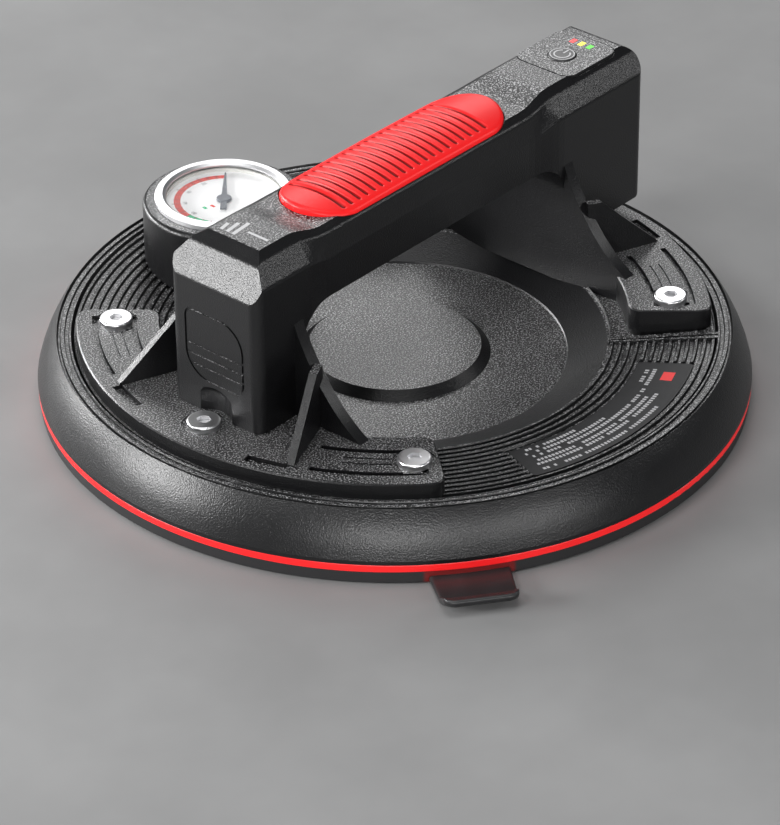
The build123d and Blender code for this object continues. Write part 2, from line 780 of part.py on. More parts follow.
def emblem_face(inset):
    """Plate outline on the near end, two corners large and two small."""
    y = (emblem_y[0] + inset, emblem_y[1] - inset)
    z = (emblem_z[0] + inset, emblem_z[1] - inset)
    face = make_face(Polyline((y[0], z[0]), (y[1], z[0]), (y[1], z[1]), (y[0], z[1]), close=True))
    large = face.vertices().filter_by(lambda v: (v.X > 0) == (v.Y < 50))
    face = fillet(large, emblem_large_corner - inset)
    small = face.vertices().filter_by(lambda v: (abs(v.X - y[0]) < 0.01 and abs(v.Y - z[0]) < 0.01)
                                      or (abs(v.X - y[1]) < 0.01 and abs(v.Y - z[1]) < 0.01))
    return fillet(small, emblem_small_corner - inset)


def emblem_cut():
    """Shallow outline and stripes cut in the near end of the handle."""
    plane = Plane(origin=(handle_near_x - 1, 0, 0), x_dir=(0, 1, 0), z_dir=(1, 0, 0))
    outline = emblem_face(0) - emblem_face(emblem_line)
    for z in emblem_stripes_z:
        stripe = Pos(0, z) * Rectangle(emblem_y[1] - emblem_y[0], emblem_line)
        outline += stripe & emblem_face(0)
    return extrude(plane * outline, amount=1 + emblem_depth)


def cap_screw_boss(y, z):
    """Pillar inside the column that an end cap screw bites in."""
    length = cap_x - bridge_x - wall
    place = Pos(cap_x - length / 2, y, z) * Rot(0, 90, 0)
    return place * (Cylinder(cap_screw_radius + 1.6, length) - Cylinder(cap_screw_radius, length + 1))


def end_cap():
    """Hollow cap that closes the pump head."""
    cap = handle_trimmed() & block((cap_x, handle_far_x + 1), (-50, 50), (0, 100))
    cap -= head_hollow(cap_x - 1, handle_far_x - cap_wall)
    cap -= panel_cut() + panel_drillings()
    face_x = handle_far_x
    seat_y = flap_half_width + flap_gap
    cap -= block((face_x - flap_thickness - 0.1, face_x + 1), (-seat_y, seat_y),
                 (socket_z - flap_height / 2 - flap_gap, socket_z + flap_height / 2 + flap_gap))
    cap -= block((face_x - 2 * cap_wall, face_x), (-socket_half[0], socket_half[0]),
                 (socket_z - socket_half[1], socket_z + socket_half[1]))
    for y, z in cap_screw_yz:
        pillar = Pos((cap_x + face_x) / 2, y, z) * Rot(0, 90, 0)
        depth = face_x - cap_x - 2.0
        cap += Pos(cap_x + depth / 2, y, z) * Rot(0, 90, 0) * Cylinder(cap_screw_head + cap_pillar_wall, depth)
        cap -= pillar * Cylinder(cap_screw_radius + 0.15, 2 * (face_x - cap_x))
        cap -= Pos(face_x, y, z) * Rot(0, 90, 0) * Cylinder(cap_screw_head + 0.1, 2 * 4.0)
    return cap


def end_cap_screws():
    """Two screws that hold the end cap."""
    screws = []
    head_x = handle_far_x - 4.0
    for y, z in cap_screw_yz:
        tip_x = cap_x - cap_screw_length + 1.0
        shank = Pos((tip_x + head_x) / 2, y, z) * Rot(0, 90, 0) * Cylinder(cap_screw_radius, head_x - tip_x)
        head = Pos(head_x + 0.9, y, z) * Rot(0, 90, 0) * Cylinder(cap_screw_head, 1.8)
        slot = Pos(head_x + 1.8, y, z) * (Box(1.4, 0.8, 3.4) + Box(1.4, 3.4, 0.8))
        screws.append(shank + head - slot)
    return Compound(screws)


def grip_blank(grow, bottom, extra):
    """Long round-ended block in plan."""
    half = grip_half_width + grow
    low, high = grip_x[0] - grow, grip_x[1] + grow
    return rounded_box((low, high), (-half, half), (bottom, grip_edge_z + extra), half - 0.3)


def grip_insert():
    """Crowned grip with cross grooves inside a smooth border."""
    blank = grip_blank(0, grip_bottom_z, grip_crown + 1)
    sagitta = grip_crown
    arch_radius = (grip_half_width ** 2 + sagitta ** 2) / (2 * sagitta)
    length = grip_x[1] - grip_x[0] + 10
    crown_z = grip_edge_z + sagitta
    arch = Pos(0, 0, crown_z - arch_radius) * Rot(0, 90, 0) * Cylinder(arch_radius, length)
    end_radius = ((grip_x[1] - grip_x[0]) ** 2 / 4 + grip_bow ** 2) / (2 * grip_bow)
    bow = Pos(0, 0, crown_z - end_radius) * Rot(90, 0, 0) * Cylinder(end_radius, 4 * grip_half_width)
    grip = blank & arch & bow
    for index in range(grip_groove_count):
        x = grip_groove_start + index * grip_groove_pitch
        cutter = Pos(x, 0, crown_z - arch_radius) * Rot(0, 90, 0) * (
            Cylinder(arch_radius + 3, grip_groove_width)
            - Cylinder(arch_radius - grip_groove_depth, grip_groove_width + 1))
        window = block((x - 2, x + 2), (-grip_groove_half_length, grip_groove_half_length),
                       (grip_bottom_z, crown_z + 3))
        grip -= cutter & window
    return grip


def underside_cover():
    """Thin cover under the bar with low cross ribs for the fingers."""
    half_x, half_y = cover_half_length, cover_half_width
    cover = block((-half_x, half_x), (-half_y, half_y), (bridge_z, bridge_z + cover_thickness))
    first = -finger_rib_pitch * (finger_rib_count - 1) / 2
    for index in range(finger_rib_count):
        x = first + index * finger_rib_pitch
        rib = Pos(x, 0, bridge_z + 0.1) * Rot(90, 0, 0) * Cylinder(finger_rib_radius, 2 * half_y - 2)
        cover += rib & block((x - 2, x + 2), (-half_y, half_y), (bridge_z - 2, bridge_z + 0.5))
    for x, y in cover_boss_places():
        cover -= rod(cover_screw_radius + 0.15, bridge_z - 2, bridge_z + 3, x, y)
        cover -= rod(cover_screw_head + 0.1, bridge_z - 2, bridge_z + cover_thickness - 0.5, x, y)
    return cover


def cover_screws():
    """Four small countersunk screws."""
    screws = []
    under = bridge_z + cover_thickness - 0.5
    for x, y in cover_boss_places():
        screw = rod(cover_screw_head, bridge_z - 0.3, under, x, y)
        screw += rod(cover_screw_radius, under, under + cover_screw_length, x, y)
        slot = Pos(x, y, bridge_z - 0.3) * (Box(0.5, 2.4, 0.7) + Box(2.4, 0.5, 0.7))
        screws.append(screw - slot)
    return Compound(screws)


# ---- inside the handle ----
def cell_centre_z():
    """The cell lies on the cover."""
    return bridge_z + cover_thickness + cell_gap + cell_radius


def battery_cell():
    """Rechargeable cell lying along the bar."""
    body = Pos(0, 0, cell_centre_z()) * Rot(0, 90, 0) * Cylinder(cell_radius, cell_length)
    button = Pos(cell_length / 2 + 0.6, 0, cell_centre_z()) * Rot(0, 90, 0) * Cylinder(3.0, 1.2)
    return fillet(body.edges(), 0.8) + button


def battery_contacts():
    """Spring plates at both ends of the cell."""
    plates = []
    for sign, reach in ((-1, 0.0), (1, 1.2)):
        inner = sign * (cell_length / 2 + reach)
        low, high = sorted((inner, inner + sign * contact_thickness))
        plates.append(block((low, high), (-contact_half_height, contact_half_height),
                            (bridge_z + cover_thickness, cell_centre_z() + contact_half_height)))
    return Compound(plates)


def circuit_board():
    """Control board on rails under the panel."""
    board = block(board_x, (-board_half_width, board_half_width), (board_z, board_z + board_thickness))
    chip = block((70, 76), (-3, 3), (board_z + board_thickness, board_z + board_thickness + 1.2))
    part = block((95, 98), (-9, -5), (board_z + board_thickness, board_z + board_thickness + 1.6))
    return board + chip + part


def tact_switch():
    """Small switch on the board under the button."""
    low = board_z + board_thickness
    half = switch_size / 2
    body = block((button_x - half, button_x + half), (-half, half), (low, low + switch_height - 1.2))
    return body + rod(1.6, low, low + switch_height - 0.4, button_x)


def power_button():
    """Round push button with a stem, held in by a flange under the panel."""
    top = block_top_z + button_proud
    stem_bottom = board_z + board_thickness + switch_height - 0.4 + button_travel + 0.1
    flange_top = panel_seat_z - 0.05
    button = rod(button_radius, flange_top - 1.0, top, button_x)
    button = fillet(button.edges().filter_by(GeomType.CIRCLE).group_by(Axis.Z)[-1], 0.4)
    button += rod(button_radius + button_flange - 0.1, flange_top - 1.0, flange_top, button_x)
    return button + rod(1.5, stem_bottom, flange_top, button_x)


def control_panel():
    """Textured panel set in the top of the head."""
    top = block_top_z + panel_proud
    panel = rounded_box(panel_x, (-panel_half_width, panel_half_width), (panel_seat_z, top), panel_corner)
    panel -= rod(button_radius + button_gap, panel_seat_z - 1, top + 1, button_x)
    for y in led_ys.values():
        panel -= block((led_x - led_size[0] / 2, led_x + led_size[0] / 2),
                       (y - led_size[1] / 2, y + led_size[1] / 2), (panel_seat_z - 1, top + 1))
    return panel


def led_light(y):
    """Light pipe from the board up through the panel."""
    top = block_top_z + panel_proud + led_proud
    return block((led_x - led_size[0] / 2, led_x + led_size[0] / 2),
                 (y - led_size[1] / 2, y + led_size[1] / 2), (board_z + board_thickness, top))


def pump_head():
    """Pump block with a round chamber for the eccentric and an outlet to the hose."""
    low, high = interior_floor_z, interior_floor_z + pump_block_height
    head = block(pump_block_x, (-pump_block_half_width, pump_block_half_width), (low, high))
    for y, z in cap_screw_yz:
        head -= Pos(pump_x, y, z) * Rot(0, 90, 0) * Cylinder(cap_screw_head + cap_pillar_wall + 0.3, 60)
    head -= block((60, 110), (cap_screw_yz[1][0] - 3.9, 20), (low - 1, cap_screw_yz[1][1]))
    head -= block((60, 110), (-20, cap_screw_yz[0][0] + 3.9), (low - 1, cap_screw_yz[0][1]))
    head -= rod(pump_chamber_radius, low + pump_chamber_floor, high + 1, pump_x)
    head -= rod(diaphragm_radius, low - 1, low + diaphragm_thickness, pump_x)
    head -= rod(hose_inner_radius - 0.6, low - 1, low + 5, port_x)
    return head


def pump_diaphragm():
    """Rubber disc that the pump works."""
    return rod(diaphragm_radius - 0.05, interior_floor_z, interior_floor_z + diaphragm_thickness, pump_x)


def motor_bottom():
    """The motor stands on the pump block."""
    return interior_floor_z + pump_block_height


def pump_motor():
    """Small can motor, bored for its shaft."""
    low = motor_bottom()
    can = rod(motor_radius, low, low + motor_length, pump_x)
    can = fillet(can.edges().filter_by(GeomType.CIRCLE).group_by(Axis.Z)[-1], 1.5)
    can += rod(3.0, low + motor_length, low + motor_length + 2, pump_x)
    return can - rod(shaft_radius + shaft_gap, low - 1, low + shaft_reach, pump_x)


def pump_rotor():
    """Motor shaft with the eccentric that drives the diaphragm."""
    low = motor_bottom()
    eccentric_low = interior_floor_z + pump_chamber_floor + 1.2
    shaft = rod(shaft_radius, eccentric_low - 0.6, low + shaft_reach - 0.3, pump_x)
    return shaft + rod(eccentric_radius, eccentric_low, eccentric_low + eccentric_height,
                       pump_x + eccentric_offset)


def check_valve():
    """One-way valve on the pump's outlet, beside the motor."""
    x = pump_block_x[0] + valve_radius + 0.4
    y = pump_block_half_width - valve_radius - 0.6
    low = motor_bottom()
    valve = rod(valve_radius, low, low + valve_height, x, y)
    return valve + rod(1.4, low, low + valve_height + 4, x, y)


def vacuum_hose():
    """Short straight hose from the pump block down to the spigot."""
    bottom = land_z + nipple_collar_height
    hose = tube(hose_outer_radius, hose_inner_radius, bottom, interior_floor_z, port_x)
    return hose


def charge_port():
    """Charging socket with its contact tongue."""
    inner_x = handle_far_x - flap_thickness - 0.1
    y, z = socket_half[0], socket_half[1]
    shell = block((inner_x - socket_depth, inner_x), (-y + 0.05, y - 0.05),
                  (socket_z - z + 0.05, socket_z + z - 0.05))
    hollow = block((inner_x - socket_depth + 1, inner_x + 1), (-y + 0.05 + socket_wall, y - 0.05 - socket_wall),
                   (socket_z - z + 0.05 + socket_wall, socket_z + z - 0.05 - socket_wall))
    tongue = block((inner_x - socket_depth, inner_x - 1), (-tongue_half[0], tongue_half[0]),
                   (socket_z - tongue_half[1], socket_z + tongue_half[1]))
    return shell - hollow + tongue


def port_cover():
    """Dust flap over the charging socket, hinged along its top edge."""
    x = handle_far_x
    flap = block((x - flap_thickness, x - 0.05), (-flap_half_width, flap_half_width),
                 (socket_z - flap_height / 2, socket_z + flap_height / 2))
    return fillet(flap.edges().filter_by(Axis.X).sort_by(Axis.Z)[:2], 1.2)


# ---- gauge ----
def at_gauge(shape):
    """Moves a part made about Z to the gauge's axis."""
    return Pos(gauge_x, gauge_y, 0) * shape


def gauge_case():
    """Round case with a ledge for the dial."""
    case = tube(case_radius, case_radius - case_wall, pod_floor_z, case_top_z)
    case += rod(case_radius - 0.5, pod_floor_z, pod_floor_z + case_floor)
    ledge_inner = case_radius - case_wall - ledge_width
    case += tube(case_radius - case_wall + 0.5, ledge_inner, dial_z - 2, dial_z)
    return at_gauge(case - rod(stem_radius - 1.0, 0, pod_floor_z + case_floor + 1))


def gauge_stem():
    """Threaded connection under the case."""
    low = land_z - nipple_depth
    stem = rod(stem_radius, low, pod_floor_z) + rod(stem_radius - 1.0, low, movement_z)
    return at_gauge(stem - rod(port_bore, low - 1, pod_floor_z + 1))


def gauge_movement():
    """Plate with the pivot for the toothed sector."""
    half_x, half_y = movement_half
    plate = block((-half_x, half_x), (-half_y, half_y), (movement_z, movement_z + movement_thickness))
    plate -= rod(arbor_radius + arbor_gap, movement_z - 1, movement_z + 3)
    plate += rod(pivot_radius, movement_z, gear_z + gear_height + 0.6, pinion_to_pivot)
    return at_gauge(plate)


def bourdon_tube():
    """Curved pressure tube, most of a circle."""
    ring = Torus(tube_ring_radius, tube_section, major_angle=tube_arc)
    z = gear_z + gear_height / 2
    arc = Pos(0, 0, z) * Rot(0, 0, tube_start_angle) * ring
    foot_x, foot_y = polar(tube_ring_radius, tube_start_angle)
    foot_post = rod(tube_section, pod_floor_z + case_floor, z, foot_x, foot_y)
    return at_gauge(arc + foot_post)


def gauge_sector():
    """Toothed sector that turns the needle's pinion."""
    radius = pinion_radius * gear_ratio
    low, high = gear_z, gear_z + gear_height
    wedge = turned([(0.5, low), (radius, low), (radius, high), (0.5, high)], sector_span[1] - sector_span[0],
                   180 + sector_span[0])
    sector = wedge + rod(sector_hub_radius, low, high)
    sector -= rod(pivot_radius + arbor_gap, low - 1, high + 1)
    return at_gauge(Pos(pinion_to_pivot, 0, 0) * sector)


def gauge_dial():
    """Dial plate with a hole for the needle's arbor."""
    dial = rod(dial_radius, dial_z, dial_z + dial_thickness)
    return at_gauge(dial - rod(arbor_radius + 3 * arbor_gap, dial_z - 1, dial_z + 2))


def gauge_needle():
    """Needle, hub, arbor and pinion, pointing at zero."""
    low = dial_z + dial_thickness + needle_lift
    outline = make_face(Polyline((-needle_tail, -needle_half_width), (0, -needle_half_width * 0.9),
                                 (needle_length, -needle_tip_half_width), (needle_length, needle_tip_half_width),
                                 (0, needle_half_width * 0.9), (-needle_tail, needle_half_width), close=True))
    pointer = Pos(0, 0, low + 0.2) * extrude(outline, amount=needle_thickness, dir=(0, 0, 1))
    hub = rod(needle_hub_radius, low, low + needle_hub_height)
    hub = fillet(hub.edges().filter_by(GeomType.CIRCLE).group_by(Axis.Z)[-1], 0.4)
    arbor = rod(arbor_radius, movement_z + 0.2, low + 0.2)
    pinion = rod(pinion_radius, gear_z - 0.1, gear_z + gear_height + 0.1)
    return at_gauge(Rot(0, 0, needle_zero_angle) * (pointer + hub + arbor + pinion))


def gauge_spacer():
    """Ring that holds the dial down and the lens up."""
    outer = lens_radius
    return at_gauge(tube(outer, outer - spacer_width, dial_z + dial_thickness, case_top_z - lens_thickness))


def gauge_lens():
    """Clear window."""
    return at_gauge(rod(lens_radius, case_top_z - lens_thickness, case_top_z))


def gauge_bezel():
    """Bright ring over the lens and the edge of the pod, sloped towards the lens."""
    top = case_top_z + bezel_height
    skirt = case_radius + 0.1
    return at_gauge(turned([(bezel_inner_radius, case_top_z), (skirt, case_top_z), (skirt, bezel_skirt_z),
                            (bezel_radius, bezel_skirt_z), (bezel_radius, top - 0.7), (bezel_radius - 0.7, top),
                            (bezel_inner_radius + 1.0, top), (bezel_inner_radius, case_top_z + 0.5)]))


def inlet_filter():
    """Porous disc over the pad's air hole."""
    return rod(filter_radius, plate_bottom_z, plate_bottom_z + filter_thickness, port_x)


def parts():
    """Every node by name."""
    made = {
        "rubber_pad": rubber_pad(), "red_ring": red_ring(), "base_plate": base_plate(),
        "backing_ring": backing_ring(), "threaded_inserts": threaded_inserts(), "flange_screws": flange_screws(),
        "inlet_filter": inlet_filter(), "vacuum_port": vacuum_port(),
        "port_seal": seal_ring(hose_outer_radius, port_x, 0),
        "gauge_seal": seal_ring(stem_radius, gauge_x, gauge_y),
        "label_plate": label_plate(), "release_tab": release_tab(), "handle_body": handle_body(),
        "end_cap": end_cap(), "end_cap_screws": end_cap_screws(), "grip_insert": grip_insert(),
        "underside_cover": underside_cover(), "cover_screws": cover_screws(), "battery_cell": battery_cell(),
        "battery_contacts": battery_contacts(), "circuit_board": circuit_board(), "tact_switch": tact_switch(),
        "power_button": power_button(), "control_panel": control_panel(), "pump_motor": pump_motor(),
        "pump_rotor": pump_rotor(), "pump_head": pump_head(), "pump_diaphragm": pump_diaphragm(),
        "check_valve": check_valve(), "vacuum_hose": vacuum_hose(), "charge_port": charge_port(),
        "port_cover": port_cover(), "gauge_case": gauge_case(), "gauge_stem": gauge_stem(),
        "gauge_movement": gauge_movement(), "bourdon_tube": bourdon_tube(), "gauge_sector": gauge_sector(),
        "gauge_dial": gauge_dial(), "gauge_needle": gauge_needle(), "gauge_spacer": gauge_spacer(),
        "gauge_lens": gauge_lens(), "gauge_bezel": gauge_bezel(),
    }
    for name, y in led_ys.items():
        made[name] = led_light(y)
    return made


def main():
    """Writes one file for each node."""
    os.makedirs("parts", exist_ok=True)
    for name, shape in parts().items():
        export_step(shape, f"parts/{name}.step")
        print(name, round(shape.volume, 1))


main()
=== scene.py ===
import math
import bpy
import numpy as np
from mathutils import Matrix, Vector


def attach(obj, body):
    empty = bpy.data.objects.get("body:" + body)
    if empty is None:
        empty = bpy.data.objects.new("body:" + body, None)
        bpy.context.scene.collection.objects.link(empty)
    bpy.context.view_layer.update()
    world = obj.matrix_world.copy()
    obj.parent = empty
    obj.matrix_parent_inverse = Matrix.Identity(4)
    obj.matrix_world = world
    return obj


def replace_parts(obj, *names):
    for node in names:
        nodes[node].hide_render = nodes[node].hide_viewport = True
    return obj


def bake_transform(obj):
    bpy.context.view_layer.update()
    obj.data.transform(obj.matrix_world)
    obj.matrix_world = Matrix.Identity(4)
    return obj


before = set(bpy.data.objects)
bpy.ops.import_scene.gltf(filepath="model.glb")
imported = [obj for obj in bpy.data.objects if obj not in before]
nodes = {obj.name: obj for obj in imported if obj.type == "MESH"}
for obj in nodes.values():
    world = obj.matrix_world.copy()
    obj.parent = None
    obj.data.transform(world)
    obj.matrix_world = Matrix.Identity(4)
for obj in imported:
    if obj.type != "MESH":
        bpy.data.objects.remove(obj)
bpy.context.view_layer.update()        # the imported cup, every part in its place, in metres
mm = 0.001
print("frame loaded, nodes:", len(nodes))


class Wire:
    # a socket that can be used in a sum: every operator adds one Math node
    def __init__(self, finish, socket):
        self.finish = finish
        self.socket = socket

    def work(self, operation, *others):
        return self.finish.add("Math", {"operation": operation}, dict(enumerate((self, *others))))

    def swapped(self, operation, other):
        # for the reflected forms: the other value goes first
        return self.finish.add("Math", {"operation": operation}, {0: other, 1: self})

    def __add__(self, other):
        return self.work("ADD", other)

    def __radd__(self, other):
        return self.work("ADD", other)

    def __sub__(self, other):
        return self.work("SUBTRACT", other)

    def __rsub__(self, other):
        return self.swapped("SUBTRACT", other)

    def __mul__(self, other):
        return self.work("MULTIPLY", other)

    def __rmul__(self, other):
        return self.work("MULTIPLY", other)

    def __truediv__(self, other):
        return self.work("DIVIDE", other)

    def __rtruediv__(self, other):
        return self.swapped("DIVIDE", other)

    def __lt__(self, other):
        return self.work("LESS_THAN", other)

    def __gt__(self, other):
        return self.work("GREATER_THAN", other)

    def __abs__(self):
        return self.work("ABSOLUTE")

    def between(self, low, high):
        # 0 below low, 1 above high, eased in between
        return self.finish.add("MapRange", {"interpolation_type": "SMOOTHSTEP"}, {0: self, 1: low, 2: high})


class Finish:
    # one material: a Principled shader and what feeds it
    def __init__(self, name, **sockets):
        self.material = bpy.data.materials.new(name)
        self.material.use_nodes = True
        self.tree = self.material.node_tree
        self.shader = next(n for n in self.tree.nodes if n.type == "BSDF_PRINCIPLED")
        self.set(**sockets)

    def set(self, **sockets):
        for key, value in sockets.items():
            self.feed(self.shader.inputs[key.replace("_", " ")], value)
        return self

    def feed(self, socket, value):
        if isinstance(value, Wire):
            self.tree.links.new(value.socket, socket)
        elif hasattr(value, "__len__") and len(value) == 3 and socket.type == "RGBA":
            socket.default_value = (*value, 1)
        else:
            socket.default_value = value

    def add(self, kind, settings=None, values=None, output=0):
        # any other node: its type, its settings first, then its sockets
        node = self.tree.nodes.new("ShaderNode" + kind)
        for key, value in (settings or {}).items():
            setattr(node, key, value)
        for key, value in (values or {}).items():
            self.feed(node.inputs[key], value)
        return Wire(self, node.outputs[output])

    def place(self):
        return self.add("TexCoord", output="Object")

    def axes(self, place):
        return [self.add("SeparateXYZ", {}, {0: place}, output=i) for i in range(3)]

    def upward(self):
        # 1 on faces that look up, 0 on upright ones
        return self.axes(self.add("NewGeometry", output="Normal"))[2]

    def grain(self, place, size, detail=2.0, roughness=0.6):
        # fractal noise whose lumps are about that size in metres
        sockets = {"Vector": place, "Scale": 1 / size, "Detail": detail, "Roughness": roughness}
        return self.add("TexNoise", {}, sockets)

    def mix(self, amount, first, second):
        return self.add("Mix", {"data_type": "RGBA"}, {0: amount, 6: first, 7: second}, output=2)

    def dent(self, height, depth, strength=1.0):
        self.set(Normal=self.add("Bump", {}, {"Strength": strength, "Distance": depth, "Height": height}))
        return self

    def on(self, *names):
        for name in names:
            thing = nodes[name] if name in nodes else bpy.data.objects[name]
            thing.data.materials.clear()
            thing.data.materials.append(self.material)
        return self


sparkLook = {"dark": (0.004, 0.004, 0.0045), "paintedGlint": (0.46, 0.46, 0.465), "grain": 0.50 * mm,
             "depth": 0.17 * mm, "cover": (0.50, 0.66), "level": (0.93, 0.99), "roughness": 0.29,
             "reach": 106.3 * mm}


def sparkPlastic(name, look, paintedGlint=1.0):
    # black ABS with an eroded grain: pale specks on level faces inside "reach" are painted highlight where
    # the grain would catch the light, plain dark satin elsewhere
    paint = Finish(name)
    where = paint.place()
    speck = paint.grain(where, look["grain"], 1.5, 0.5)
    glint = speck.between(*look["cover"]) * paintedGlint
    patch = paint.grain(where, 22 * mm, 2).between(0.3, 0.75) * 0.3 + 0.75
    level = paint.upward().between(*look["level"])
    across, along, _ = paint.axes(where)
    inside = (across * across + along * along) < look["reach"] ** 2
    # painted highlight: the specks are pale only on faces that look up and inside the rolled rim, as if lit
    # from above
    amount = glint * patch * level * inside
    paint.set(Base_Color=paint.mix(amount, look["dark"], look["paintedGlint"]))
    paint.set(Roughness=look["roughness"] - amount * 0.1 + paint.grain(where, 4 * mm) * 0.06)
    return paint.dent(speck, look["depth"], 0.65)


sparkPlastic("sparkShell", sparkLook).on("base_plate", "handle_body", "end_cap")
sparkPlastic("sparkPanel", sparkLook, 1.1).on("control_panel")
sparkPlastic("sparkCover", sparkLook, 0.3).on("underside_cover")


def rubber(name, colour, roughness):
    # soft matte rubber with a fine bloom and faint mould flow
    paint = Finish(name)
    where = paint.place()
    bloom = paint.grain(where, 9 * mm, 3).between(0.35, 0.8)
    paint.set(Base_Color=paint.mix(bloom * 0.5, colour, tuple(c * 1.9 + 0.004 for c in colour)))
    paint.set(Roughness=roughness - bloom * 0.08)
    return paint.dent(paint.grain(where, 0.25 * mm, 3), 0.03 * mm, 0.5)


rubber("tabPlain", (0.016, 0.016, 0.017), 0.55).on("port_cover", "release_tab")
padRedPatch = {"angle": 232.5, "half": 7.4, "fade": 0.8, "colour": (0.14, 0.002, 0.002),
           "plain": (0.014, 0.014, 0.015)}


def padRubber(t):
    # the lip is dark red where the tab joins it: a window in the angle round the disc
    paint = rubber("padRubber", t["plain"], 0.5)
    across, along, _ = paint.axes(paint.place())
    a = math.radians(t["angle"])
    forward = across * math.cos(a) + along * math.sin(a)
    side = along * math.cos(a) - across * math.sin(a)
    fadeFrom = math.tan(math.radians(t["half"] - t["fade"]))
    fadeTo = math.tan(math.radians(t["half"]))
    near = 1 - abs(side / forward).between(fadeFrom, fadeTo)
    amount = near * (forward > 0.0)
    return paint.set(Base_Color=paint.mix(amount, t["plain"], t["colour"]))


padRubber(padRedPatch).on("rubber_pad")
rubber("sealRubber", (0.01, 0.01, 0.011), 0.5).on("port_seal", "gauge_seal", "pump_diaphragm")
rubber("hoseSilicone", (0.45, 0.44, 0.42), 0.4).on("vacuum_hose")


def glossPlastic(name, colour, roughness, coat=0.3, depth=0.02 * mm):
    # moulded gloss plastic: faint orange peel, slightly deeper colour in patches
    paint = Finish(name, Coat_Weight=coat, Coat_Roughness=0.12)
    where = paint.place()
    peel = paint.grain(where, 2.2 * mm, 2)
    patch = paint.grain(where, 14 * mm, 2)
    paint.set(Base_Color=paint.mix(patch.between(0.3, 0.7) * 0.35, colour, tuple(c * 0.82 for c in colour)))
    paint.set(Roughness=roughness + peel * 0.06)
    return paint.dent(peel, depth, 0.4)


ringRed = (0.85, 0.012, 0.014)
ringGlow = 0.16          # lifts the thin ring out of the lip's shade
ringPaint = glossPlastic("redRing", ringRed, 0.32, 0.0)
ringPaint.set(Emission_Color=(*ringRed, 1), Emission_Strength=ringGlow).on("red_ring")
gripRed = (0.96, 0.016, 0.018)
gripSheen = 0.25
glossPlastic("redGrip", gripRed, 0.30, 0.0).set(Specular_IOR_Level=gripSheen).on("grip_insert")
glossPlastic("labelFilm", (0.008, 0.008, 0.009), 0.5, 0.0).on("label_plate")
glossPlastic("buttonCap", (0.012, 0.012, 0.013), 0.34, 0.1).on("power_button")
glossPlastic("cellSleeve", (0.02, 0.16, 0.42), 0.3).on("battery_cell")
glossPlastic("boardMask", (0.01, 0.16, 0.06), 0.35).on("circuit_board")
glossPlastic("nylon", (0.7, 0.7, 0.66), 0.4, 0.0).on("check_valve", "gauge_spacer")
glossPlastic("pumpShell", (0.05, 0.05, 0.055), 0.45, 0.0).on("pump_head", "tact_switch")


def metal(name, colour, roughness, lines=0.5 * mm, depth=0.01 * mm, axis=2):
    # metal with fine turning or rolling marks drawn out along two of its axes
    paint = Finish(name, Metallic=1.0)
    where = paint.place()
    stretch = [0.12, 0.12, 0.12]
    stretch[axis] = 1.0
    drawn = paint.add("Mapping", {}, {"Vector": where, "Scale": stretch})
    marks = paint.grain(drawn, lines, 3)
    stain = paint.grain(where, 6 * mm, 2).between(0.3, 0.8)
    paint.set(Base_Color=paint.mix(stain * 0.3, colour, tuple(c * 0.8 for c in colour)))
    paint.set(Roughness=roughness + marks * 0.10 + stain * 0.04)
    return paint.dent(marks, depth, 0.5)


metal("screwSteel", (0.86, 0.86, 0.87), 0.24).on("flange_screws")
metal("bezelSilver", (0.80, 0.80, 0.81), 0.34).on("gauge_bezel")
steelNodes = ("backing_ring", "battery_contacts", "pump_motor", "pump_rotor", "charge_port", "gauge_case")
metal("plainSteel", (0.55, 0.55, 0.56), 0.3).on(*steelNodes)
brassNodes = ("threaded_inserts", "vacuum_port", "gauge_stem", "gauge_movement", "bourdon_tube",
              "gauge_sector", "inlet_filter")
metal("brass", (0.70, 0.48, 0.18), 0.25).on(*brassNodes)
metal("blackScrews", (0.05, 0.05, 0.052), 0.35).on("end_cap_screws", "cover_screws")
metal("needlePaint", (0.10, 0.11, 0.13), 0.4).set(Metallic=0.2).on("gauge_needle")


def printedDial():
    # white enamel with a faint grey fleck
    paint = Finish("dialWhite", Coat_Weight=0.2)
    where = paint.place()
    fleck = paint.grain(where, 1.2 * mm, 3)
    paint.set(Base_Color=paint.mix(fleck.between(0.4, 0.9) * 0.12, (0.86, 0.86, 0.86), (0.74, 0.74, 0.75)))
    paint.set(Roughness=0.35 + fleck * 0.1)
    return paint.dent(fleck, 0.01 * mm, 0.3)


printedDial().on("gauge_dial")


def clearLens():
    # thin window: mostly see-through, with a gloss that grows at a slant
    paint = Finish("lensClear", Base_Color=(0.95, 0.97, 0.98), Roughness=0.03, IOR=1.45)
    smear = paint.grain(paint.place(), 7 * mm, 3).between(0.4, 0.9)
    paint.set(Alpha=smear * 0.02 + 0.03)
    return paint


clearLens().on("gauge_lens")


def lamp(name, colour):
    # translucent light window with a little glow, uneven through its haze
    paint = Finish(name, Emission_Strength=0.7)
    haze = paint.grain(paint.place(), 0.8 * mm, 2)
    tint = paint.mix(haze.between(0.3, 0.8) * 0.35, colour, tuple(min(1.0, c * 1.2 + 0.02) for c in colour))
    paint.set(Base_Color=tint, Emission_Color=tint, Roughness=0.3 + haze * 0.1)
    return paint


lamp("lightRed", (0.75, 0.02, 0.02)).on("led_red")
lamp("lightYellow", (0.95, 0.85, 0.03)).on("led_yellow")
lamp("lightGreen", (0.06, 0.55, 0.02)).on("led_green")
print("finishes made:", len(bpy.data.materials))


